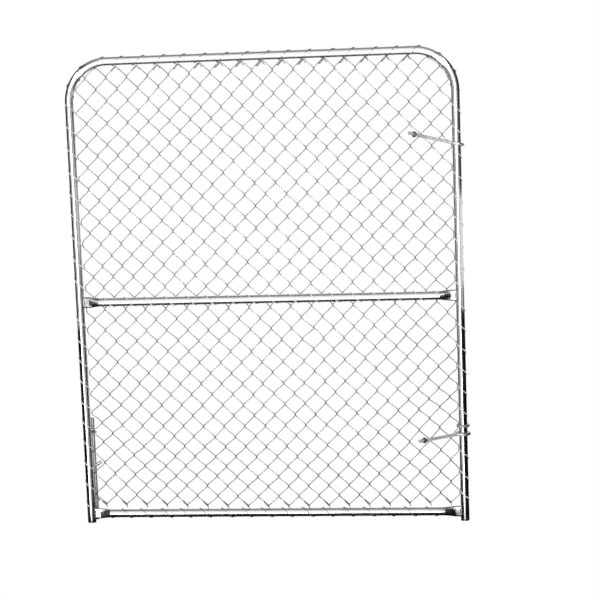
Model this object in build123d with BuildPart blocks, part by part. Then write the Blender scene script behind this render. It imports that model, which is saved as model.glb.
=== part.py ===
"""Leaf of a double-leaf chain-link gate: a bent tube hoop with two rails, laced mesh,
two swivelling eye bolts on the hinge stile and a drop bolt on the free stile.

Millimetres. Z is up, X runs from the free stile towards the hinge stile, and the face
that is looked at faces -Y. The origin is the middle of the hinge stile's lower end.
"""
import os
from math import atan2, ceil, cos, degrees, floor, hypot, pi, radians, sin, sqrt

from build123d import *

# Overall size of the leaf
LEAF_WIDTH = 1240.0
LEAF_HEIGHT = 1500.0

# Tubes of the frame
TUBE_DIAMETER = 26.9
TUBE_WALL = 2.0
BEND_RADIUS = 125.0
MID_RAIL_HEIGHT = 724.0
BOTTOM_RAIL_HEIGHT = 29.0

# Flattened rail ends
FLAT_HEIGHT = 35.0
FLAT_THICKNESS = 10.0
FLAT_LENGTH = 16.0
FLARE_LENGTH = 34.0
WELD_SIZE = 3.2
WELD_MARGIN = 3.0

# Chain-link mesh, whose rows are a little taller above the middle rail
WIRE_DIAMETER = 2.8
MESH_COLUMNS = 18
ROWS_BELOW = 9.86
ROWS_ABOVE = 10.64
MESH_BOTTOM = 55.0
MESH_TOP = 1467.0
MESH_TAIL = 6.0
MESH_SEAT_GAP = 0.3
MESH_SET_BACK = 19.5
LAYER_OVERLAP = 0.4
MESH_FOLD_GAP = 0.2

# Lacing wire that winds round the frame once a diamond
LACING_DIAMETER = 2.2
LACING_CLEARANCE = 0.1
LACING_CORNERS = 8
LACING_SIDES = 6
LACING_END_GAP = 6.0
LACING_EYE_GAP = 12.0
MID_LACING_SHIFT = 0.5
BOTTOM_LACING_SHIFT = 0.85

# Hinge eye bolts
ROD_DIAMETER = 10.0
EYE_CLEARANCE = 1.55
EYE_SEAT_GAP = 0.3
EYE_ROOM = 5.0
NECK_RADIUS = 12.0
EYE_OPENING = 24.0
SHANK_REACH = 170.0
NUT_WIDTH = 16.0
NUT_HEIGHT = 8.4
NUT_INSET = 16.0
NUT_CLEARANCE = 0.1
NUT_CHAMFER = 1.2
SHANK_CHAMFER = 1.0
UPPER_BOLT_HEIGHT = 1196.0
UPPER_BOLT_SWING = 30.0
UPPER_BOLT_TILT = 14.0
LOWER_BOLT_HEIGHT = 282.0
LOWER_BOLT_SWING = 38.0
LOWER_BOLT_TILT = 0.0

# Collar of rod above the lower eye
COLLAR_ROD = 8.0
COLLAR_RISE = 26.0
COLLAR_CLEARANCE = 0.2

# Drop bolt and its guide rings
BOLT_DIAMETER = 12.0
BOLT_LENGTH = 340.0
BOLT_TIP_HEIGHT = 3.0
BOLT_CHAMFER = 2.0
BOLT_BEARING = 60.0
HANDLE_DIAMETER = 10.0
HANDLE_HEIGHT = 183.0
HANDLE_REACH = 26.0
HANDLE_RISE = 29.0
GUIDE_ROD = 6.0
GUIDE_CLEARANCE = 0.6
GUIDE_SEAT_GAP = 0.2
LOWER_GUIDE_HEIGHT = 70.0
UPPER_GUIDE_HEIGHT = 296.0

# Worked out from the sizes above
TUBE_RADIUS = TUBE_DIAMETER / 2
FREE_X = -(LEAF_WIDTH - TUBE_DIAMETER)
TOP_Z = LEAF_HEIGHT - TUBE_RADIUS
OPEN_LEFT = FREE_X + TUBE_RADIUS
OPEN_RIGHT = -TUBE_RADIUS
DIAMOND_WIDTH = (OPEN_RIGHT - OPEN_LEFT) / MESH_COLUMNS
LOWER_ROW = (MID_RAIL_HEIGHT - MESH_BOTTOM) / ROWS_BELOW
UPPER_ROW = (MESH_TOP - MID_RAIL_HEIGHT) / ROWS_ABOVE
LACING_SEAT = TUBE_RADIUS + LACING_CLEARANCE + LACING_DIAMETER / 2
LACING_RADIUS = LACING_SEAT / cos(pi / LACING_CORNERS)
MESH_EDGE_GAP = LACING_SEAT + LACING_DIAMETER / 2 - TUBE_RADIUS + MESH_SEAT_GAP
STRAIGHT_STILE = TOP_Z - BEND_RADIUS
HOOP_LENGTH = 2 * STRAIGHT_STILE + pi * BEND_RADIUS - FREE_X - 2 * BEND_RADIUS
RAIL_END = FLAT_LENGTH + FLARE_LENGTH + TUBE_RADIUS
RAIL_HALF = FLAT_HEIGHT / 2 + LACING_END_GAP
EYE_RADIUS = TUBE_RADIUS + EYE_CLEARANCE + ROD_DIAMETER / 2
GUIDE_RADIUS = BOLT_DIAMETER / 2 + GUIDE_CLEARANCE + GUIDE_ROD / 2
UPPER_EYE_HALF = ROD_DIAMETER / 2 + EYE_RADIUS * sin(radians(UPPER_BOLT_TILT))
LOWER_EYE_HALF = ROD_DIAMETER / 2 + EYE_RADIUS * sin(radians(LOWER_BOLT_TILT))
COLLAR_HEIGHT = LOWER_BOLT_HEIGHT + COLLAR_RISE
BOLT_DISTANCE = TUBE_RADIUS + GUIDE_SEAT_GAP + GUIDE_ROD / 2 + GUIDE_RADIUS
BOLT_X = FREE_X + BOLT_DISTANCE * cos(radians(BOLT_BEARING))
BOLT_Y = BOLT_DISTANCE * sin(radians(BOLT_BEARING))


def save(piece, name):
    """Label a finished piece and write it as its own file."""
    piece.label = name
    export_step(piece, f"parts/{name}.step")


def across(x, height):
    """Plane square to a rail at this place along it, with its sketch's X along Y."""
    return Plane(origin=(x, 0, height), x_dir=(0, 1, 0), z_dir=(1, 0, 0))


def frame_hoop():
    """One tube bent round both top corners: free stile, top rail and hinge stile."""
    with BuildPart() as hoop:
        with BuildSketch():
            with Locations((FREE_X, 0)):
                Circle(TUBE_RADIUS)
                Circle(TUBE_RADIUS - TUBE_WALL, mode=Mode.SUBTRACT)
        sweep(path=hoop_path())
    return hoop.part


def rail_form(height, inset):
    """A rail's outer form, or with an inset its bore: round, flaring to flat ends."""
    left_flat = FREE_X + TUBE_RADIUS + FLAT_LENGTH
    right_flat = -TUBE_RADIUS - FLAT_LENGTH
    flat_height = FLAT_HEIGHT - 2 * inset
    flat_thickness = FLAT_THICKNESS - 2 * inset
    with BuildPart() as form:
        with BuildSketch(across(left_flat + FLARE_LENGTH, height)):
            Circle(TUBE_RADIUS - inset)
        extrude(amount=right_flat - left_flat - 2 * FLARE_LENGTH)
        for flat_x, stile_x, way in ((left_flat, FREE_X, -1), (right_flat, 0, 1)):
            with BuildSketch(across(flat_x - way * FLARE_LENGTH, height)):
                Circle(TUBE_RADIUS - inset)
            with BuildSketch(across(flat_x, height)):
                SlotOverall(flat_height, flat_thickness, rotation=90)
            loft()
            with BuildSketch(across(flat_x, height)):
                SlotOverall(flat_height, flat_thickness, rotation=90)
            extrude(amount=stile_x - flat_x)
    return form.part


def rail(height):
    """Straight tube whose ends are pressed flat and coped to the stiles."""
    outer = rail_form(height, 0)
    bore = rail_form(height, TUBE_WALL)
    with BuildPart() as piece:
        add(outer)
        add(bore, mode=Mode.SUBTRACT)
        with Locations((0, 0, height), (FREE_X, 0, height)):
            Cylinder(TUBE_RADIUS, 2 * FLAT_HEIGHT, mode=Mode.SUBTRACT)
    return piece.part


def rail_welds(height):
    """Beads of weld down the front and back of a rail's flat ends."""
    corner = sqrt(TUBE_RADIUS**2 - (FLAT_THICKNESS / 2) ** 2)
    with BuildPart() as beads:
        for stile_x, way in ((FREE_X, 1), (0, -1)):
            with Locations((stile_x + way * corner, 0, height)):
                with GridLocations(0, FLAT_THICKNESS, 1, 2):
                    Cylinder(WELD_SIZE, FLAT_HEIGHT - FLAT_THICKNESS - 2 * WELD_MARGIN)
        with Locations((0, 0, height), (FREE_X, 0, height)):
            Cylinder(TUBE_RADIUS, 2 * FLAT_HEIGHT, mode=Mode.SUBTRACT)
        add(rail_form(height, 0), mode=Mode.SUBTRACT)
    return beads.part


def mesh_panel(edge_z, node_z, row_height):
    """Chain-link from the middle rail to one edge: legs of one slope before the others.

    The panel leans, because it hangs behind the middle rail and in the hoop's plane
    at its free edge. The first half column has a node at node_z. Its edge leaves room
    for the eyes to turn, and the bits that this cuts loose fall away.
    """
    rises = edge_z > MID_RAIL_HEIGHT
    low_z, high_z = sorted((edge_z, MID_RAIL_HEIGHT))
    low_y, high_y = (MESH_SET_BACK, 0) if rises else (0, MESH_SET_BACK)
    low_tail, high_tail = (-MESH_FOLD_GAP, MESH_TAIL) if rises else (MESH_TAIL, -MESH_FOLD_GAP)
    lean = hypot(high_z - low_z, high_y - low_y) / (high_z - low_z)
    outward = Vector(0, -(high_z - low_z), high_y - low_y).normalized()
    plane = Plane(origin=(0, low_y, low_z), x_dir=(1, 0, 0), z_dir=outward)
    rise = row_height * lean
    angle = degrees(atan2(rise, DIAMOND_WIDTH))
    length = hypot(OPEN_RIGHT - OPEN_LEFT, LEAF_HEIGHT)
    middle_x = (OPEN_LEFT + OPEN_RIGHT) / 2
    first_node = OPEN_LEFT + DIAMOND_WIDTH / 2
    opening_top = (LEAF_HEIGHT - TUBE_DIAMETER - MESH_EDGE_GAP - low_z) * lean
    with BuildSketch() as opening:
        with BuildLine():
            left = OPEN_LEFT + MESH_EDGE_GAP
            right = OPEN_RIGHT - MESH_EDGE_GAP
            corners = [(left, -LEAF_HEIGHT), (left, opening_top), (right, opening_top), (right, -LEAF_HEIGHT)]
            FilletPolyline(*corners, radius=BEND_RADIUS - TUBE_RADIUS - MESH_EDGE_GAP, close=True)
        make_face()
    with BuildSketch() as band:
        height = (high_z - low_z) * lean
        with Locations((middle_x, (height + high_tail - low_tail) / 2)):
            Rectangle(LEAF_WIDTH, height + high_tail + low_tail)
    with BuildPart() as panel:
        for side, way in ((1, 1), (-1, -1)):
            with BuildSketch(plane.offset(-side * LAYER_OVERLAP / 2)):
                reach = ceil(MESH_COLUMNS + ROWS_BELOW + ROWS_ABOVE)
                for step in range(-reach, reach + 1):
                    node = (node_z - low_z) * lean + step * rise
                    middle = node + way * (middle_x - first_node) / DIAMOND_WIDTH * rise
                    with Locations(Location((middle_x, middle), way * angle)):
                        Rectangle(length, WIRE_DIAMETER)
                add(band.sketch, mode=Mode.INTERSECT)
                add(opening.sketch, mode=Mode.INTERSECT)
            extrude(amount=side * (WIRE_DIAMETER + LAYER_OVERLAP / 2))
        for height, half in ((UPPER_BOLT_HEIGHT, UPPER_EYE_HALF), (LOWER_BOLT_HEIGHT, LOWER_EYE_HALF)):
            with Locations((0, 0, height)):
                room = EYE_RADIUS + ROD_DIAMETER / 2 + EYE_ROOM
                Cylinder(room, 2 * (half + EYE_ROOM), mode=Mode.SUBTRACT)
    return panel.part.solids().sort_by(SortBy.VOLUME)[-1]


def lacing(path, hand, spans):
    """Wire wound round a member as a helix of straight steps, in one length a span.

    A span is where it starts and ends along the path, one place where it meets the
    mesh, and its rise a turn.
    """
    front = Vector(0, -1, 0)
    with BuildPart() as wire:
        for low, high, crossing, pitch in spans:
            step = pitch / LACING_CORNERS
            corners = []
            for index in range(ceil((low - crossing) / step), floor((high - crossing) / step)):
                station = crossing + (index + 0.5) * step
                turn = hand * 2 * pi * (index + 0.5) / LACING_CORNERS
                middle = path.position_at(station, position_mode=PositionMode.LENGTH)
                along = path.tangent_at(station, position_mode=PositionMode.LENGTH)
                inward = along.cross(front)
                corners.append(middle + (inward * cos(turn) + front * sin(turn)) * LACING_RADIUS)
            with BuildLine() as run:
                Polyline(*corners)
            with BuildSketch(Plane(origin=corners[0], z_dir=corners[1] - corners[0])):
                RegularPolygon(LACING_DIAMETER / 2, LACING_SIDES)
            sweep(path=run.wires()[0], transition=Transition.RIGHT)
    return wire.part


def hoop_path():
    """Centre line of the hoop, from the free stile's foot to the hinge stile's."""
    corners = [(FREE_X, 0), (FREE_X, TOP_Z), (0, TOP_Z), (0, 0)]
    with BuildLine(Plane.XZ) as run:
        FilletPolyline(*corners, radius=BEND_RADIUS)
    return run.wires()[0]


def rail_lacing(height, shift):
    """Lacing of one rail, between its flared ends."""
    path = Wire([Edge.make_line((FREE_X, 0, height), (0, 0, height))])
    span = (RAIL_END, -FREE_X - RAIL_END, TUBE_RADIUS + shift * DIAMOND_WIDTH, DIAMOND_WIDTH)
    return lacing(path, -1, [span])


def down(low_z, high_z, node_z, row_height):
    """Span of the hinge stile's lacing, measured from the hoop's other end."""
    return (HOOP_LENGTH - high_z, HOOP_LENGTH - low_z, HOOP_LENGTH - node_z, row_height)


def shank_plane(height, swing, tilt):
    """Plane of an eye bolt: X runs out along the shank, the eye's middle is its origin.

    The eye is drawn along its shank until its far side leans on the stile.
    """
    level = cos(radians(tilt))
    climb = sin(radians(tilt))
    inwards = cos(radians(swing))
    forwards = sin(radians(swing))
    along = (-inwards * level, -forwards * level, climb)
    up = (inwards * climb, forwards * climb, level)
    slack = EYE_RADIUS * level - ROD_DIAMETER / 2 - TUBE_RADIUS - EYE_SEAT_GAP
    return Plane(origin=(-inwards * slack, -forwards * slack, height), x_dir=along, z_dir=up)


def eye_bolt(plane):
    """Rod bent into an eye round the hinge stile, with a neck that centres its shank."""
    neck_x = sqrt(EYE_RADIUS**2 + 2 * EYE_RADIUS * NECK_RADIUS)
    neck_turn = degrees(atan2(NECK_RADIUS, neck_x))
    with BuildPart() as bolt:
        with BuildLine(plane) as run:
            Line((SHANK_REACH, 0), (neck_x, 0))
            CenterArc((neck_x, NECK_RADIUS), NECK_RADIUS, 270, neck_turn - 90)
            CenterArc((0, 0), EYE_RADIUS, neck_turn, 360 - EYE_OPENING - neck_turn)
        tip = plane.from_local_coords(Vector(SHANK_REACH, 0, 0))
        with BuildSketch(Plane(origin=tip, z_dir=plane.x_dir)):
            Circle(ROD_DIAMETER / 2)
        sweep(path=run.wires()[0])
        chamfer(bolt.edges().filter_by(GeomType.CIRCLE).sort_by_distance(tip)[0], length=SHANK_CHAMFER)
    return bolt.part


def shank_nut(plane):
    """Hexagon nut near the shank's free end, with its corners taken off."""
    seat = plane.from_local_coords(Vector(SHANK_REACH - NUT_INSET, 0, 0))
    seat_plane = Plane(origin=seat, x_dir=plane.z_dir, z_dir=plane.x_dir)
    with BuildPart() as nut:
        with BuildSketch(seat_plane):
            Circle(NUT_WIDTH / sqrt(3))
        extrude(amount=-NUT_HEIGHT)
        chamfer(nut.edges().filter_by(GeomType.CIRCLE), length=NUT_CHAMFER)
        with BuildSketch(seat_plane):
            RegularPolygon(NUT_WIDTH / 2, 6, major_radius=False)
            Circle(ROD_DIAMETER / 2 + NUT_CLEARANCE, mode=Mode.SUBTRACT)
        extrude(amount=-NUT_HEIGHT, mode=Mode.INTERSECT)
    return nut.part


def collar():
    """Ring of rod on the hinge stile, a little above the lower eye."""
    with BuildPart() as ring:
        with BuildSketch(Plane.XZ):
            with Locations((TUBE_RADIUS + COLLAR_CLEARANCE + COLLAR_ROD / 2, COLLAR_HEIGHT)):
                Circle(COLLAR_ROD / 2)
        revolve(axis=Axis.Z)
    return ring.part


def drop_bolt():
    """Round bar beside the free stile, with a stub of rod as its handle."""
    with BuildPart() as bolt:
        with BuildSketch(Plane.XY.offset(BOLT_TIP_HEIGHT)):
            with Locations((BOLT_X, BOLT_Y)):
                Circle(BOLT_DIAMETER / 2)
        extrude(amount=BOLT_LENGTH)
        ends = bolt.edges().filter_by(GeomType.CIRCLE)
        chamfer(ends, length=BOLT_CHAMFER)
        out = (cos(radians(HANDLE_RISE)), 0, sin(radians(HANDLE_RISE)))
        with BuildSketch(Plane(origin=(BOLT_X, BOLT_Y, HANDLE_HEIGHT), z_dir=out)):
            Circle(HANDLE_DIAMETER / 2)
        extrude(amount=HANDLE_REACH)
    return bolt.part


def guide_ring(height):
    """Ring of rod welded to the free stile, in which the drop bolt slides."""
    with BuildPart() as ring:
        with BuildSketch(Plane(origin=(BOLT_X, BOLT_Y, height), x_dir=(1, 0, 0), z_dir=(0, -1, 0))):
            with Locations((GUIDE_RADIUS, 0)):
                Circle(GUIDE_ROD / 2)
        revolve(axis=Axis((BOLT_X, BOLT_Y, height), (0, 0, 1)))
    return ring.part


os.makedirs("parts", exist_ok=True)
save(frame_hoop(), "frame_hoop")
save(rail(MID_RAIL_HEIGHT), "mid_rail")
save(rail(BOTTOM_RAIL_HEIGHT), "bottom_rail")
save(rail_welds(MID_RAIL_HEIGHT), "mid_rail_welds")
save(rail_welds(BOTTOM_RAIL_HEIGHT), "bottom_rail_welds")
save(mesh_panel(MESH_BOTTOM, MESH_BOTTOM, LOWER_ROW), "lower_mesh")
save(mesh_panel(MESH_TOP, MESH_TOP - UPPER_ROW / 2, UPPER_ROW), "upper_mesh")

lower_edge = MESH_BOTTOM + LOWER_ROW / 2
upper_edge = MESH_TOP - UPPER_ROW
below_mid = (BOTTOM_RAIL_HEIGHT + RAIL_HALF, MID_RAIL_HEIGHT - RAIL_HALF, lower_edge, LOWER_ROW)
above_mid = (MID_RAIL_HEIGHT + RAIL_HALF, STRAIGHT_STILE, upper_edge, UPPER_ROW)
top_start = STRAIGHT_STILE + LACING_END_GAP
first_column = STRAIGHT_STILE + pi / 2 * BEND_RADIUS + TUBE_RADIUS - BEND_RADIUS
along_top = (top_start, HOOP_LENGTH - top_start, first_column, DIAMOND_WIDTH)
below_upper_eye = UPPER_BOLT_HEIGHT - UPPER_EYE_HALF - LACING_EYE_GAP
above_upper_eye = UPPER_BOLT_HEIGHT + UPPER_EYE_HALF + LACING_EYE_GAP
below_lower_eye = LOWER_BOLT_HEIGHT - LOWER_EYE_HALF - LACING_EYE_GAP
above_collar = COLLAR_HEIGHT + COLLAR_ROD / 2 + LACING_END_GAP
beside_eyes = [
    down(above_upper_eye, STRAIGHT_STILE, upper_edge, UPPER_ROW),
    down(MID_RAIL_HEIGHT + RAIL_HALF, below_upper_eye, upper_edge, UPPER_ROW),
    down(above_collar, MID_RAIL_HEIGHT - RAIL_HALF, lower_edge, LOWER_ROW),
    down(BOTTOM_RAIL_HEIGHT + RAIL_HALF, below_lower_eye, lower_edge, LOWER_ROW),
]
save(lacing(hoop_path(), 1, [below_mid, above_mid]), "free_stile_lacing")
save(lacing(hoop_path(), 1, [along_top]), "top_lacing")
save(lacing(hoop_path(), 1, beside_eyes), "hinge_stile_lacing")
save(rail_lacing(MID_RAIL_HEIGHT, MID_LACING_SHIFT), "mid_rail_lacing")
save(rail_lacing(BOTTOM_RAIL_HEIGHT, BOTTOM_LACING_SHIFT), "bottom_rail_lacing")

upper_plane = shank_plane(UPPER_BOLT_HEIGHT, UPPER_BOLT_SWING, UPPER_BOLT_TILT)
lower_plane = shank_plane(LOWER_BOLT_HEIGHT, LOWER_BOLT_SWING, LOWER_BOLT_TILT)
save(eye_bolt(upper_plane), "upper_eye_bolt")
save(eye_bolt(lower_plane), "lower_eye_bolt")
save(shank_nut(upper_plane), "upper_bolt_nut")
save(shank_nut(lower_plane), "lower_bolt_nut")
save(collar(), "stop_collar")

save(drop_bolt(), "drop_bolt")
save(guide_ring(LOWER_GUIDE_HEIGHT), "lower_guide_ring")
save(guide_ring(UPPER_GUIDE_HEIGHT), "upper_guide_ring")
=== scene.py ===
from math import cos, exp, pi, radians, sin

import bpy
import numpy as np
from mathutils import Matrix, Vector

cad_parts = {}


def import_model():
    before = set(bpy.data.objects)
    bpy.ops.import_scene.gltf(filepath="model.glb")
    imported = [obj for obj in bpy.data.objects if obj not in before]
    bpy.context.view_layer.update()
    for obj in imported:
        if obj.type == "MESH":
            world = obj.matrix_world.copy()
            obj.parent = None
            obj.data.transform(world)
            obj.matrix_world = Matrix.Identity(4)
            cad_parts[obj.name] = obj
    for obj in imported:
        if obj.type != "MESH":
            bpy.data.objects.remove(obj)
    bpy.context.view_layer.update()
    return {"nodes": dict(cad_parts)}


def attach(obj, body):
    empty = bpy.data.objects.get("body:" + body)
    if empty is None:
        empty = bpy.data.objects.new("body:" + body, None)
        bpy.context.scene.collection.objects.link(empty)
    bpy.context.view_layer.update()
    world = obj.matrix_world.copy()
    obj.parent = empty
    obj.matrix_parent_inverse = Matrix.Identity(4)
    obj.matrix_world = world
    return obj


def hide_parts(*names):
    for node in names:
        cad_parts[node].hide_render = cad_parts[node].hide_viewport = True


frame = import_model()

# Sizes of the leaf in metres, as the CAD has them
FREE_X = -1.2131
TUBE_RADIUS = 0.01345
TOP_Z = 1.48655
BEND = 0.125
STRAIGHT = TOP_Z - BEND
MID_RAIL = 0.724
BOTTOM_RAIL = 0.029
RAIL_SEAT = 0.0134
FLARED_END = 0.050
RAIL_END = RAIL_SEAT + FLARED_END
LACE_RADIUS = 0.0011
LACE_GAP = 0.00005

# The eye bolts
UPPER_EYE = 1.196
LOWER_EYE = 0.282
EYE_RADIUS = 0.020
EYE_GAP = 0.0003
ROD_RADIUS = 0.005
THREAD_START = 0.108
THREAD_PITCH = 0.0015

# The mesh, whose rows are counted from its bottom edge to the middle rail and on to its top
# edge. A leg is half a row of one wire. HOOK and LAYER_GAP are in wire radii: how far a bend
# passes its half column, and how far each slope lies before or behind the middle. FLIP is how
# sharply a wire changes from one layer to the other.
OPEN_LEFT = FREE_X + TUBE_RADIUS
COLUMNS = 18
COLUMN = (-2 * TUBE_RADIUS - FREE_X) / COLUMNS
MESH_BOTTOM = 0.055
MESH_TOP = 1.467
ROWS_BELOW = 9.86
ROWS_ABOVE = 10.64
ROW_BELOW = (MID_RAIL - MESH_BOTTOM) / ROWS_BELOW
ROW_ABOVE = (MESH_TOP - MID_RAIL) / ROWS_ABOVE
SET_BACK = 0.0195
WIRE_RADIUS = 0.00155
WIRE_GAP = 0.0004
WIRES = 2 * COLUMNS
LEGS = round(2 * (ROWS_BELOW + ROWS_ABOVE))
LEG_POINTS = 6
WIRE_POINTS = LEGS * LEG_POINTS + 1
HOOK = 0.9
FLIP = 2.4
LAYER_GAP = 1.04
LOOSE_SCALE = 9.0

# How finely the round wires are cut
WIRE_SIDES = 6
LACE_SIDES = 7
STEPS_PER_TURN = 26
COIL_STEPS = 12

# The last rows of the mesh are drawn up to the top rail
LIFTED_FROM = 1.36
LIFT = 0.06

# How the mesh was pulled out of true when it was tied in: the widths over which a pull fades,
# and each pull across and up with its place
STRETCH_ACROSS, STRETCH_UP = 0.36, 0.20
STRETCH = [
    (0.0081, -0.0014, -1.08, 1.42), (0.0082, 0.0052, -0.60, 1.42), (-0.0019, -0.0002, -0.12, 1.42),
    (-0.0021, 0.0014, -1.08, 1.15), (0.0040, 0.0072, -0.60, 1.15), (0.0010, 0.0029, -0.12, 1.15),
    (-0.0048, -0.0004, -1.08, 0.88), (0.0031, 0.0022, -0.60, 0.88), (0.0053, 0.0053, -0.12, 0.88),
    (-0.0046, -0.0009, -1.08, 0.56), (0.0041, -0.0084, -0.60, 0.56), (0.0033, 0.0023, -0.12, 0.56),
    (0.0027, -0.0082, -1.08, 0.30), (0.0038, -0.0100, -0.60, 0.30), (0.0048, -0.0030, -0.12, 0.30),
    (0.0041, 0.0047, -1.08, 0.06), (0.0080, -0.0048, -0.60, 0.06), (0.0006, 0.0032, -0.12, 0.06),
]

# Stronger pulls at the lower eye, at the drop bolt and of one bulged diamond: the place, how
# far it reaches each way, and the amount
EYE_PULL = (0.0, 0.300, 0.120, 0.100), 0.019
BOLT_PULL = (-1.213, 0.240, 0.110, 0.130), 0.017
BULGE = (-0.470, 0.610, 0.022, 0.030), 0.009

# Heights on the stiles where the lacing stops and starts again: at the rails, the top bend,
# the upper eye, and the lower eye with its collar
LACED_FROM = 0.054
BELOW_MID, ABOVE_MID = 0.700, 0.748
LACED_TO = 1.360
BELOW_UPPER_EYE, ABOVE_UPPER_EYE = 1.170, 1.226
BELOW_LOWER_EYE, ABOVE_COLLAR = 0.262, 0.322

# How far the lower turns are from the true nodes: up the stiles, and in columns along the rails
FREE_RISE, HINGE_RISE = 0.015, 0.012
MID_SHIFT, BOTTOM_SHIFT = 0.5, 0.85


# Node graphs

class Value:
    """One socket of a node graph, with the arithmetic operators."""

    def __init__(self, graph, socket):
        self.graph, self.socket = graph, socket

    def __add__(self, other): return self.graph.maths("ADD", self, other)
    def __radd__(self, other): return self.graph.maths("ADD", other, self)
    def __sub__(self, other): return self.graph.maths("SUBTRACT", self, other)
    def __rsub__(self, other): return self.graph.maths("SUBTRACT", other, self)
    def __mul__(self, other): return self.graph.maths("MULTIPLY", self, other)
    def __rmul__(self, other): return self.graph.maths("MULTIPLY", other, self)
    def __truediv__(self, other): return self.graph.maths("DIVIDE", self, other)
    def __rtruediv__(self, other): return self.graph.maths("DIVIDE", other, self)
    def __neg__(self): return self.graph.maths("MULTIPLY", self, -1.0)
    def __abs__(self): return self.graph.maths("ABSOLUTE", self)
    def __mod__(self, other): return self.graph.maths("FLOORED_MODULO", self, other)
    def floor(self): return self.graph.maths("FLOOR", self)
    def sin(self): return self.graph.maths("SINE", self)
    def cos(self): return self.graph.maths("COSINE", self)
    def asin(self): return self.graph.maths("ARCSINE", self)
    def exp(self): return self.graph.maths("EXPONENT", self)
    def sqrt(self): return self.graph.maths("SQRT", self)
    def least(self, other): return self.graph.maths("MINIMUM", self, other)
    def most(self, other): return self.graph.maths("MAXIMUM", self, other)
    def over(self, other): return self.graph.maths("GREATER_THAN", self, other)
    def clamp(self, low, high): return self.most(low).least(high)

    def step(self, low, high):
        """0 below low and 1 above high, smooth between."""
        t = ((self - low) / (high - low)).clamp(0.0, 1.0)
        return t * t * (3.0 - 2.0 * t)


class Graph:
    """A node tree that is built from Python expressions."""

    def __init__(self, tree):
        self.tree = tree
        self.count = len(tree.nodes)

    def node(self, kind, inputs=None, **settings):
        """The one place where a node is made: its settings, then its inputs by name or number."""
        made = self.tree.nodes.new(kind)
        made.location = (180 * (self.count // 8), -190 * (self.count % 8))
        self.count += 1
        for key, value in settings.items():
            setattr(made, key, value)
        for key, value in (inputs or {}).items():
            if isinstance(value, Value):
                self.tree.links.new(value.socket, made.inputs[key])
            else:
                made.inputs[key].default_value = value
        return made

    def out(self, made, key=0):
        return Value(self, made.outputs[key])

    def maths(self, operation, *values):
        made = self.node("ShaderNodeMath", dict(enumerate(values)), operation=operation)
        return self.out(made)

    def vector(self, x, y, z):
        return self.out(self.node("ShaderNodeCombineXYZ", {0: x, 1: y, 2: z}))

    def parts(self, vector):
        made = self.node("ShaderNodeSeparateXYZ", {0: vector})
        return [self.out(made, i) for i in range(3)]

    def noise(self, place, scale, detail, output=0, **more):
        inputs = {"Vector": place, "Scale": scale, "Detail": detail, **more}
        return self.out(self.node("ShaderNodeTexNoise", inputs), output)

    def mix(self, share, low, high):
        """Between two colours, by a share."""
        made = self.node("ShaderNodeMix", {0: share, 6: low, 7: high}, data_type="RGBA")
        return self.out(made, 2)


def hill(x, z, at_x, at_z, wide, tall):
    """1 at a place and fading to 0 round it."""
    a, b = (x - at_x) / wide, (z - at_z) / tall
    return (-(a * a + b * b)).exp()


def grey(v):
    """Opaque grey of this lightness."""
    return (v, v, v, 1.0)


# Materials

# Scales of the patterns in the zinc, where they begin and end, and the shares of a base grey
# between which it varies
GRAIN_SCALE, SPANGLE_SCALE = 420.0, 95.0
PATCH_SCALE, WEAR_SCALE, STAIN_SCALE = 34.0, 7.5, 62.0
WEAR_EDGE, STAIN_EDGE = (0.46, 0.62), (0.60, 0.74)
DARKEST, LIGHTEST, USUAL = 0.55, 1.18, 0.72
STAIN_COLOUR = (0.30, 0.27, 0.23, 1.0)
# Near black, for painted shade
PAINTED_SHADE_GREY = grey(0.04)
SKIN_DEPTH, THREAD_DEPTH = 0.0006, 0.0007


def metal(name, base, rough, grain=1.0, spangle=0.0, dull=0.0, bump=0.0, bump_scale=220.0,
          stains=0.0, bare=1.0, painted_shade=()):
    """Zinc-coated steel: spangle, dull patches and a fine uneven skin, in object coordinates.

    The last argument lists patches of painted shade, each as x, z, width and strength.
    """
    made = bpy.data.materials.new(name)
    made.use_nodes = True
    made.node_tree.nodes.clear()
    g = Graph(made.node_tree)
    place = g.out(g.node("ShaderNodeTexCoord"), "Object")
    fine = g.noise(place, GRAIN_SCALE * grain, 3.0)
    broad = g.noise(place, WEAR_SCALE, 5.0, Roughness=0.6)
    patch = g.noise(place, PATCH_SCALE, 4.0)
    cells = {"Vector": place, "Scale": SPANGLE_SCALE * grain}
    tints = g.out(g.node("ShaderNodeTexVoronoi", cells), "Color")
    cell = g.out(g.node("ShaderNodeSeparateColor", {0: tints}), 0)
    worn = (broad * 0.55 + patch * 0.45).step(*WEAR_EDGE)
    shade = (fine - 0.5) * 0.10 + (cell - 0.5) * spangle - worn * dull
    lightness = (USUAL + shade * 1.6).clamp(0.0, 1.0)
    colour = g.mix(lightness, grey(base * DARKEST), grey(min(1.0, base * LIGHTEST)))
    if stains:
        spots = g.noise(place, STAIN_SCALE, 2.0)
        colour = g.mix(spots.step(*STAIN_EDGE) * stains, colour, STAIN_COLOUR)
    # Painted shade: patches that darken the colour to near black
    if painted_shade:
        x, _, z = g.parts(place)
        for at_x, at_z, wide, strength in painted_shade:
            a, b = (x - at_x) / wide, (z - at_z) / wide
            shade_share = (-(a * a + b * b + (patch - 0.5) * 1.2)).exp().least(1.0) * strength
            colour = g.mix(shade_share, colour, PAINTED_SHADE_GREY)
    roughness = rough + worn * dull * 0.7 + (cell - 0.5) * spangle * 0.5 + (fine - 0.5) * 0.06
    inputs = {"Base Color": colour, "Metallic": bare, "Roughness": roughness.clamp(0.06, 0.9)}
    if bump:
        height = g.noise(place, bump_scale, 3.0) + patch * 0.5
        skin = {"Strength": bump, "Distance": SKIN_DEPTH, "Height": height}
        inputs["Normal"] = g.out(g.node("ShaderNodeBump", skin))
    shader = g.node("ShaderNodeBsdfPrincipled", inputs)
    g.node("ShaderNodeOutputMaterial", {"Surface": g.out(shader)})
    return made


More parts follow.
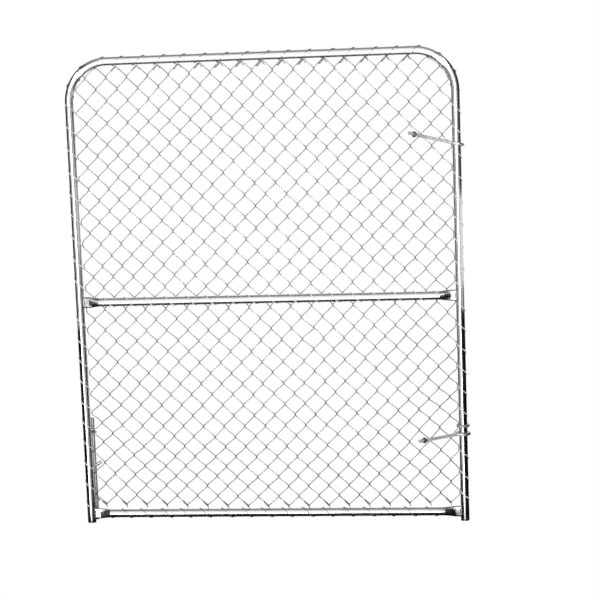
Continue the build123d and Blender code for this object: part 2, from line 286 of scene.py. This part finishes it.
def threaded(name, origin, along, base, rough):
    """Round rod that is threaded from THREAD_START on, measured from origin along the rod."""
    made = metal(name, base, rough, spangle=0.05, dull=0.12)
    g = Graph(made.node_tree)
    shader = next(n for n in made.node_tree.nodes if n.type == "BSDF_PRINCIPLED")
    x, y, z = g.parts(g.out(g.node("ShaderNodeTexCoord"), "Object"))
    far = ((x - origin[0]) * along[0] + (y - origin[1]) * along[1]
           + (z - origin[2]) * along[2])
    ridge = (far * (2 * pi / THREAD_PITCH)).sin() * 0.5 + 0.5
    cut = far.over(THREAD_START)
    thread = {"Strength": 1.0, "Distance": THREAD_DEPTH, "Height": ridge * cut}
    plain = Value(g, shader.inputs["Base Color"].links[0].from_socket)
    changed = {
        "Normal": g.out(g.node("ShaderNodeBump", thread)),
        # Painted shade: the thread valleys are darkened
        "Base Color": g.mix(cut * (1.0 - ridge) * 0.5, plain, grey(0.20)),
        "Metallic": 0.95 - far.step(0.0, 0.03) * 0.50,
    }
    for key, value in changed.items():
        made.node_tree.links.new(value.socket, shader.inputs[key])
    return made


# Painted shade on the rails' flattened ends: x, z, width and strength of each patch
RAIL_PAINTED_SHADE = [
    (-0.040, 0.020, 0.034, 0.93), (-0.037, 0.724, 0.024, 0.95), (-1.188, 0.720, 0.034, 0.93),
]
TUBE = metal("galvanised_tube", 0.84, 0.15, spangle=0.05, dull=0.08, bump=0.02, bump_scale=40.0)
RAIL = metal("galvanised_rail", 0.82, 0.17, spangle=0.06, dull=0.12, bump=0.03, bump_scale=50.0,
             painted_shade=RAIL_PAINTED_SHADE)
WIRE = metal("galvanised_wire", 0.28, 0.22, grain=1.6, spangle=0.06, dull=0.10)
LACE = metal("lacing_wire", 0.88, 0.30, grain=1.6, spangle=0.10, dull=0.10, bare=0.30)
# A darker copy of the lacing wire, for the top and bottom rails: painted shade
SHADED_LACE = metal("shaded_lacing_wire", 0.45, 0.34, grain=1.6, spangle=0.10, dull=0.14)
TWIST = metal("twisted_ends", 0.15, 0.48, grain=1.6, spangle=0.10, dull=0.20)
ROD = metal("galvanised_rod", 0.62, 0.28, spangle=0.08, dull=0.16, bump=0.06, bump_scale=160.0,
            bare=0.9)
NUT = metal("zinc_nut", 0.30, 0.34, spangle=0.05, dull=0.20, bump=0.06, bump_scale=260.0)
WELD = metal("weld", 0.42, 0.40, grain=2.0, spangle=0.25, dull=0.30, bump=0.9, bump_scale=520.0,
             stains=0.7)


def bolt_line(height, swing, tilt):
    """Where an eye bolt's shank starts and the way it runs."""
    a, b = radians(swing), radians(tilt)
    slack = EYE_RADIUS * cos(b) - ROD_RADIUS - TUBE_RADIUS - EYE_GAP
    origin = (-cos(a) * slack, -sin(a) * slack, height)
    return origin, (-cos(a) * cos(b), -sin(a) * cos(b), sin(b))


UPPER_ROD = threaded("upper_rod", *bolt_line(UPPER_EYE, swing=30.0, tilt=14.0), 0.66, 0.30)
LOWER_ROD = threaded("lower_rod", *bolt_line(LOWER_EYE, swing=38.0, tilt=0.0), 0.66, 0.30)

dressed = {
    "frame_hoop": TUBE, "mid_rail": RAIL, "bottom_rail": RAIL,
    "mid_rail_welds": WELD, "bottom_rail_welds": WELD,
    "lower_mesh": WIRE, "upper_mesh": WIRE,
    "free_stile_lacing": LACE, "top_lacing": LACE, "hinge_stile_lacing": LACE,
    "mid_rail_lacing": LACE, "bottom_rail_lacing": LACE,
    "stop_collar": ROD, "lower_guide_ring": ROD, "upper_guide_ring": ROD,
    "upper_eye_bolt": UPPER_ROD, "lower_eye_bolt": LOWER_ROD,
    "upper_bolt_nut": NUT, "lower_bolt_nut": NUT, "drop_bolt": ROD,
}
for name, node in frame["nodes"].items():
    node.data.materials.clear()
    node.data.materials.append(dressed[name])


# Geometry nodes

def group(name, wants):
    """An empty geometry group with these named float inputs: its graph, geometry and values."""
    tree = bpy.data.node_groups.new(name, "GeometryNodeTree")
    tree.interface.new_socket("Geometry", in_out="INPUT", socket_type="NodeSocketGeometry")
    for key, value in wants.items():
        socket = tree.interface.new_socket(key, in_out="INPUT", socket_type="NodeSocketFloat")
        socket.default_value = value
    tree.interface.new_socket("Geometry", in_out="OUTPUT", socket_type="NodeSocketGeometry")
    g = Graph(tree)
    source = g.node("NodeGroupInput")
    values = {key: g.out(source, key) for key in wants}
    return g, g.out(source, "Geometry"), values


def as_wire(g, curve, radius, sides, material):
    """Round wire along a curve, shaded smooth, with its material."""
    circle = {"Resolution": sides, "Radius": radius}
    ring = g.out(g.node("GeometryNodeCurvePrimitiveCircle", circle))
    swept = {"Curve": curve, "Profile Curve": ring, "Fill Caps": True}
    tube = g.out(g.node("GeometryNodeCurveToMesh", swept))
    smooth = g.out(g.node("GeometryNodeSetShadeSmooth", {"Geometry": tube}))
    return g.out(g.node("GeometryNodeSetMaterial", {"Geometry": smooth, "Material": material}))


def grown(name, mesh, g, result, body, replaces=()):
    """Runs a geometry group on a mesh and keeps what it makes as a plain mesh object."""
    g.node("NodeGroupOutput", {0: result})
    seed = bpy.data.objects.new(name + "_seed", mesh)
    bpy.context.scene.collection.objects.link(seed)
    modifier = seed.modifiers.new(name, "NODES")
    modifier.node_group = g.tree
    bpy.context.view_layer.update()
    graph = bpy.context.evaluated_depsgraph_get()
    plain = bpy.data.meshes.new_from_object(seed.evaluated_get(graph), depsgraph=graph)
    plain.name = name
    bpy.data.objects.remove(seed)
    made = bpy.data.objects.new(name, plain)
    bpy.context.scene.collection.objects.link(made)
    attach(made, body)
    if replaces:
        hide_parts(*replaces)


def bare_points(name, points, edges=(), turns=None):
    """Mesh of loose points and edges, with a turn count on each point if given."""
    mesh = bpy.data.meshes.new(name)
    mesh.from_pydata([tuple(p) for p in points], list(edges), [])
    if turns is not None:
        attribute = mesh.attributes.new("turn", "FLOAT", "POINT")
        attribute.data.foreach_set("value", np.array(turns, np.float32))
    return mesh


def zigzag(index, v):
    """A woven wire's point by its number: its place, and how far it is from the tied edges.

    Each wire runs up between two half columns, in front on one slope and behind on the other.
    """
    # The small number guards a wire's first point against rounding
    wire = (index / float(WIRE_POINTS) + 1e-4).floor()
    leg = (index - wire * float(WIRE_POINTS)) / float(LEG_POINTS)
    side = 1.0 - 2.0 * (wire % 2.0)
    wave = ((leg + 0.5) * pi).sin() * side
    swing = (wave * v["Sharpness"]).asin() / v["Sharpness"].asin()
    hooked = swing * (v["Column"] * 0.25 + v["Wire Radius"] * HOOK)
    x = v["Left"] + (wire + 0.5) * v["Column"] * 0.5 + hooked
    row = leg * 0.5
    z = v["Bottom"] + row.least(v["Rows Below"]) * v["Row Below"]
    z = z + (row - v["Rows Below"]).most(0.0) * v["Row Above"]
    climb = ((leg + 0.5) * pi).cos() * side
    layer = (climb * FLIP).clamp(-1.0, 1.0)
    left_above = (v["Rows Below"] + v["Rows Above"] - row) / v["Rows Above"]
    from_edge = (row / v["Rows Below"]).least(left_above)
    y = v["Set Back"] * from_edge - layer * v["Wire Radius"] * LAYER_GAP
    return x, y, z, from_edge


def tied_in(g, x, z, from_edge, unevenness):
    """The true fabric pulled about: at random, by the bolts, by the stretch and at the top."""
    loose = g.vector(x * LOOSE_SCALE, 0.0, z * LOOSE_SCALE)
    nx, _, nz = g.parts(g.noise(loose, 1.0, 2.0, "Color"))
    middle = (from_edge * 6.0).least(1.0)
    x = x + (nx - 0.5) * unevenness * 4.0 * middle
    z = z + (nz - 0.5) * unevenness * 5.0 * middle

    at_eye, at_bolt = (hill(x, z, *place) * amount for place, amount in (EYE_PULL, BOLT_PULL))
    z = z + at_eye + at_bolt
    place, amount = BULGE
    x = x + hill(x, z, *place) * amount

    begun_x, begun_z = x, z
    for across_by, up_by, at_x, at_z in STRETCH:
        near = hill(begun_x, begun_z, at_x, at_z, STRETCH_ACROSS, STRETCH_UP)
        x = x + near * across_by
        z = z + near * up_by
    return x, z + (begun_z - LIFTED_FROM).most(0.0) * LIFT


def within_hoop(x, z):
    """Keeps the wires inside the hoop, whose corners are round."""
    mid_x, flat = FREE_X / 2, -FREE_X / 2 - BEND
    reach = BEND - TUBE_RADIUS - WIRE_RADIUS - WIRE_GAP
    off = x - mid_x
    far_x = (abs(off) - flat).most(0.0)
    far_z = (z - STRAIGHT).most(0.0)
    span = (far_x * far_x + far_z * far_z).sqrt().most(1e-5)
    shrink = (reach / span).least(1.0)
    sign = off.over(0.0) * 2.0 - 1.0
    kept_x = mid_x + sign * (abs(off).least(flat) + far_x * shrink)
    return kept_x, z.least(STRAIGHT) + far_z * shrink


def woven_fabric():
    """Chain-link: zigzag wires hooked into their neighbours, tied inside the hoop."""
    wants = {
        "Wire Radius": WIRE_RADIUS, "Column": COLUMN, "Left": OPEN_LEFT, "Bottom": MESH_BOTTOM,
        "Row Below": ROW_BELOW, "Row Above": ROW_ABOVE,
        "Rows Below": ROWS_BELOW, "Rows Above": ROWS_ABOVE,
        "Set Back": SET_BACK, "Unevenness": 0.0022, "Sharpness": 0.992,
    }
    g, seed, v = group("Woven fabric", wants)
    x, y, z, from_edge = zigzag(g.out(g.node("GeometryNodeInputIndex")), v)
    x, z = within_hoop(*tied_in(g, x, z, from_edge, v["Unevenness"]))
    woven = {"Geometry": seed, "Position": g.vector(x, y, z)}
    moved = g.out(g.node("GeometryNodeSetPosition", woven))
    curve = g.out(g.node("GeometryNodeMeshToCurve", {"Mesh": moved}))
    result = as_wire(g, curve, v["Wire Radius"], WIRE_SIDES, WIRE)
    points = [(0, 0, 0.001 * i) for i in range(WIRES * WIRE_POINTS)]
    starts = [w * WIRE_POINTS for w in range(WIRES)]
    edges = [(start + k, start + k + 1) for start in starts for k in range(WIRE_POINTS - 1)]
    grown("mesh_fabric", bare_points("fabric_seed", points, edges), g, result, "leaf",
          ("lower_mesh", "upper_mesh"))


def winding(name, strips, hand, replaces, material=LACE):
    """Lacing wire wound round paths; strips are lists of (point, turn count)."""
    wants = {
        "Radius": TUBE_RADIUS + LACE_RADIUS + LACE_GAP, "Wire Radius": LACE_RADIUS,
        "Hand": hand, "Slackness": 0.05,
    }
    g, seed, v = group("Winding " + name, wants)
    curve = g.out(g.node("GeometryNodeMeshToCurve", {"Mesh": seed}))
    along = g.out(g.node("GeometryNodeInputTangent"))
    turn = g.out(g.node("GeometryNodeInputNamedAttribute", {"Name": "turn"}, data_type="FLOAT"))
    noise = g.noise(g.out(g.node("GeometryNodeInputPosition")), 11.0, 1.0)
    angle = (turn + (noise - 0.5) * v["Slackness"] * 6.0) * (2 * pi) * v["Hand"]
    tx, _, tz = g.parts(along)
    # Square to the path in the leaf's plane, on its right as the front shows it
    right_x, right_z = tz, -tx
    shift = g.vector(right_x * angle.cos() * v["Radius"], -angle.sin() * v["Radius"],
                     right_z * angle.cos() * v["Radius"])
    wound = g.out(g.node("GeometryNodeSetPosition", {"Geometry": curve, "Offset": shift}))
    result = as_wire(g, wound, v["Wire Radius"], LACE_SIDES, material)
    points, turns, edges = [], [], []
    for strip in strips:
        base = len(points)
        points += [p for p, _ in strip]
        turns += [t for _, t in strip]
        edges += [(base + i, base + i + 1) for i in range(len(strip) - 1)]
    grown(name, bare_points(name + "_path", points, edges, turns), g, result, "leaf",
          (replaces,))


def straight(start, end, first_turn, last_turn):
    """Evenly spaced points with their turn counts."""
    a, b = Vector(start), Vector(end)
    turned = last_turn - first_turn
    steps = max(8, int(abs(turned) * STEPS_PER_TURN))
    return [(a.lerp(b, i / steps), first_turn + turned * i / steps) for i in range(steps + 1)]


def up_stile(low, high, node, row):
    """Strip up the free stile, with its turns counted from a node of the mesh."""
    return straight((FREE_X, 0, low), (FREE_X, 0, high), (low - node) / row, (high - node) / row)


def down_stile(low, high, node, row):
    """Strip down the hinge stile, with its turns counted from a node of the mesh."""
    return straight((0, 0, high), (0, 0, low), (node - high) / row, (node - low) / row)


def over_top():
    """Strip round both bends and along the top rail."""
    strip = []
    quarter = pi / 2 * BEND
    length = 2 * quarter - FREE_X - 2 * BEND
    first_node = quarter + TUBE_RADIUS - BEND
    steps = int(length / COLUMN * STEPS_PER_TURN)
    for i in range(steps + 1):
        s = length * i / steps
        if s < quarter:
            a = s / BEND
            point = (FREE_X + BEND - BEND * cos(a), 0, STRAIGHT + BEND * sin(a))
        elif s > length - quarter:
            a = (length - s) / BEND
            point = (-BEND + BEND * cos(a), 0, STRAIGHT + BEND * sin(a))
        else:
            point = (FREE_X + BEND + s - quarter, 0, TOP_Z)
        strip.append((Vector(point), (s - first_node) / COLUMN))
    return strip


def along_rail(height, shift):
    """Strip along a rail between its flattened ends; shift is in columns."""
    low, high = FREE_X + RAIL_END, -RAIL_END
    node = OPEN_LEFT + shift * COLUMN
    return straight((low, 0, height), (high, 0, height), (low - node) / COLUMN,
                    (high - node) / COLUMN)


woven_fabric()
low_node, high_node = MESH_BOTTOM + ROW_BELOW / 2, MESH_TOP - ROW_ABOVE
free_node, hinge_node = low_node + FREE_RISE, low_node + HINGE_RISE
winding("free_stile_winding", [
    up_stile(LACED_FROM, BELOW_MID, free_node, ROW_BELOW),
    up_stile(ABOVE_MID, LACED_TO, high_node, ROW_ABOVE),
], 1.0, "free_stile_lacing")
winding("hinge_stile_winding", [
    down_stile(ABOVE_UPPER_EYE, LACED_TO, high_node, ROW_ABOVE),
    down_stile(ABOVE_MID, BELOW_UPPER_EYE, high_node, ROW_ABOVE),
    down_stile(ABOVE_COLLAR, BELOW_MID, hinge_node, ROW_BELOW),
    down_stile(LACED_FROM, BELOW_LOWER_EYE, hinge_node, ROW_BELOW),
], 1.0, "hinge_stile_lacing")
winding("top_winding", [over_top()], 1.0, "top_lacing", SHADED_LACE)
winding("mid_rail_winding", [along_rail(MID_RAIL, MID_SHIFT)], -1.0, "mid_rail_lacing")
winding("bottom_rail_winding", [along_rail(BOTTOM_RAIL, BOTTOM_SHIFT)], -1.0,
        "bottom_rail_lacing", SHADED_LACE)


def twisted_ends(name, spots, along, tip_end):
    """Selvedge: at each spot one wire end is coiled round the other and its tip is left over."""
    wants = {"Coil Radius": 0.0021, "Wire Radius": 0.0012, "Coil Length": 0.022, "Coil Turns": 4.0}
    g, seed, v = group("Twisted ends " + name, wants)
    coil = g.out(g.node("GeometryNodeCurveSpiral", {
        "Resolution": COIL_STEPS, "Rotations": v["Coil Turns"], "Start Radius": v["Coil Radius"],
        "End Radius": v["Coil Radius"], "Height": v["Coil Length"],
    }))
    spring = as_wire(g, coil, v["Wire Radius"], WIRE_SIDES, TWIST)
    turned = Vector(along).to_track_quat("Z", "Y").to_euler()
    placed = {"Points": seed, "Instance": spring, "Rotation": tuple(turned)}
    coils = g.out(g.node("GeometryNodeInstanceOnPoints", placed))
    line = g.out(g.node("GeometryNodeCurvePrimitiveLine", {"Start": (0, 0, 0), "End": tip_end}))
    tip = as_wire(g, line, v["Wire Radius"], WIRE_SIDES, TWIST)
    tips = g.out(g.node("GeometryNodeInstanceOnPoints", {"Points": seed, "Instance": tip}))
    join = g.node("GeometryNodeJoinGeometry")
    for part in (coils, tips):
        g.tree.links.new(part.socket, join.inputs[0])
    result = g.out(g.node("GeometryNodeRealizeInstances", {"Geometry": g.out(join)}))
    grown(name, bare_points(name + "_spots", spots), g, result, "leaf")


def pulled(x, z):
    """Where a point of the true fabric lies once it is tied in."""
    across, up = 0, 0
    for dx, dz, at_x, at_z in STRETCH:
        near = exp(-((x - at_x) / STRETCH_ACROSS) ** 2 - ((z - at_z) / STRETCH_UP) ** 2)
        across += dx * near
        up += dz * near
    return x + across, 0.0, z + max(z - LIFTED_FROM, 0.0) * LIFT + up


HIGHEST_TWIST = 1.4705
BOTTOM_TIP, TOP_TIP = (0.0026, -0.0015, -0.0085), (0.0095, 0.0030, -0.0120)
bottom_spots = [pulled(OPEN_LEFT + (j + 0.5) * COLUMN, MESH_BOTTOM) for j in range(COLUMNS)]
top_spots = [pulled(OPEN_LEFT + j * COLUMN, MESH_TOP) for j in range(2, COLUMNS - 1)]
top_spots = [(x, y, min(z, HIGHEST_TWIST)) for x, y, z in top_spots]
up_leg = Vector((-COLUMN / 2, 0, ROW_BELOW / 2)).normalized()
down_leg = Vector((-COLUMN / 2, 0, -ROW_ABOVE / 2)).normalized()
twisted_ends("bottom_twists", bottom_spots, up_leg, BOTTOM_TIP)
twisted_ends("top_twists", top_spots, down_leg, TOP_TIP)


# Stage and light

# Where the studio's light changes, in parts of a direction of length 1: x to the right, y away
# from the camera and z up
FRONT_EDGE, OVERHEAD_EDGE = (-0.50, -0.24), (0.60, 0.80)
BAND_START, BAND_END = (0.35, 0.39), (0.62, 0.72)
BACK_START, BACK_MIDDLE = (0.25, 0.50), (0.72, 0.86)
FRONT_LIGHT, LEAST_LIGHT = 0.95, 0.15


def streak(across, centre, width, strength):
    """A strip light, across one direction, that fades at its edges."""
    off = (across - centre) / width
    return (-(off * off)).exp() * strength


def world():
    """White to the camera. To the metal, a studio that changes with the direction.

    In front it is bright, with a darker band on each side and two crossed strip lights.
    Overhead it is darker, and straight behind it is bright for the leaf's back.
    """
    made = bpy.data.worlds.new("studio")
    bpy.context.scene.world = made
    made.use_nodes = True
    made.node_tree.nodes.clear()
    g = Graph(made.node_tree)
    x, y, z = g.parts(g.out(g.node("ShaderNodeTexCoord"), "Generated"))
    front = 1.0 - y.step(*FRONT_EDGE)
    aside = abs(x)
    bands = 1.0 - aside.step(*BAND_START) * 0.90 + aside.step(*BAND_END) * 0.42
    behind = y.step(*BACK_START) * 0.15 + y.step(*BACK_MIDDLE) * 0.75
    streaks = streak(x - z, 0.033, 0.075, 8.5) + streak(x + z, -0.285, 0.070, 5.5)
    overhead = z.step(*OVERHEAD_EDGE)
    wash = bands * (FRONT_LIGHT - overhead * 0.40)
    light = LEAST_LIGHT + overhead * 0.11 + front * (wash + streaks) + behind
    lit = g.out(g.node("ShaderNodeBackground", {"Color": grey(1.0), "Strength": light}))
    seen = g.out(g.node("ShaderNodeBackground", {"Color": grey(1.0), "Strength": 1.0}))
    camera = g.out(g.node("ShaderNodeLightPath"), "Is Camera Ray")
    both = g.out(g.node("ShaderNodeMixShader", {0: camera, 1: lit, 2: seen}))
    g.node("ShaderNodeOutputWorld", {"Surface": both})


def emitter(name, strength, lightness=1.0):
    """Plain glow for a card or the floor."""
    made = bpy.data.materials.new(name)
    made.use_nodes = True
    made.node_tree.nodes.clear()
    g = Graph(made.node_tree)
    glow = g.node("ShaderNodeEmission", {"Color": grey(lightness), "Strength": strength})
    g.node("ShaderNodeOutputMaterial", {"Surface": g.out(glow)})
    return made


def plate(name, corners, material):
    """Flat stage piece from four corners."""
    mesh = bpy.data.meshes.new(name)
    mesh.from_pydata(corners, [], [(0, 1, 2, 3)])
    mesh.materials.append(material)
    made = bpy.data.objects.new(name, mesh)
    bpy.context.scene.collection.objects.link(made)
    return made


def upright(name, x, deep, tall, material):
    """Plate that stands square to the leaf, from front to back and from low to high."""
    (front, back), (low, high) = deep, tall
    corners = [(x, front, low), (x, back, low), (x, back, high), (x, front, high)]
    return plate(name, corners, material)


def level(name, z, wide, deep, material):
    """Plate that lies flat, from left to right and from front to back."""
    (left, right), (front, back) = wide, deep
    corners = [(left, front, z), (right, front, z), (right, back, z), (left, back, z)]
    return plate(name, corners, material)


world()
floor = level("floor", -0.02, (-9, 9), (-9, 9), emitter("floor_white", 1.0))
floor.visible_glossy = False
floor.visible_diffuse = False
floor.visible_shadow = False

black = emitter("black_card", 0.0, lightness=0.0)
pale = emitter("pale_card", 0.80)
faint = emitter("faint_card", 0.035)
cards = [
    upright("card_right_low", 0.10, (-0.90, 0.14), (-0.3, 0.66), black),
    upright("card_right_high", 0.42, (-0.34, 0.56), (1.00, 1.9), faint),
    upright("card_left_low", -1.33, (-0.30, 0.16), (-0.3, 0.62), black),
    upright("card_left_high", -1.50, (-0.17, 0.38), (0.62, 1.9), faint),
    upright("card_right_middle", 0.42, (-0.60, 0.56), (0.70, 1.00), pale),
    level("card_floor", -0.15, (-1.7, 0.5), (-0.7, 0.7), black),
]
for card in cards:
    # A card shows only in the metal
    card.visible_camera = False
    card.visible_diffuse = False
    card.visible_shadow = False
    card.visible_transmission = False
    card.visible_volume_scatter = False

# The camera, fitted to the photo: its focal length is in pixels of a picture 600 wide
SENSOR = 36.0
FOCAL, PICTURE = 1700.0, 600.0
CAMERA_PLACE = (0.1057, -5.2806, 1.4836)
YAW, PITCH, ROLL = radians(-6.585), radians(-8.191), radians(-2.108)

camera_data = bpy.data.cameras.new("camera")
camera_data.sensor_width = SENSOR
camera_data.lens = FOCAL * SENSOR / PICTURE
camera_data.clip_start = 0.1
camera_data.clip_end = 60.0
camera = bpy.data.objects.new("camera", camera_data)
bpy.context.scene.collection.objects.link(camera)
bpy.context.scene.camera = camera
ahead = Vector((sin(YAW) * cos(PITCH), cos(YAW) * cos(PITCH), sin(PITCH)))
across = Vector((cos(YAW), -sin(YAW), 0))
upward = across.cross(ahead)
right_way = across * cos(ROLL) + upward * sin(ROLL)
up_way = upward * cos(ROLL) - across * sin(ROLL)
turned = Matrix((right_way, up_way, -ahead)).transposed().to_4x4()
camera.matrix_world = Matrix.Translation(CAMERA_PLACE) @ turned

scene = bpy.context.scene
scene.view_settings.view_transform = "Standard"
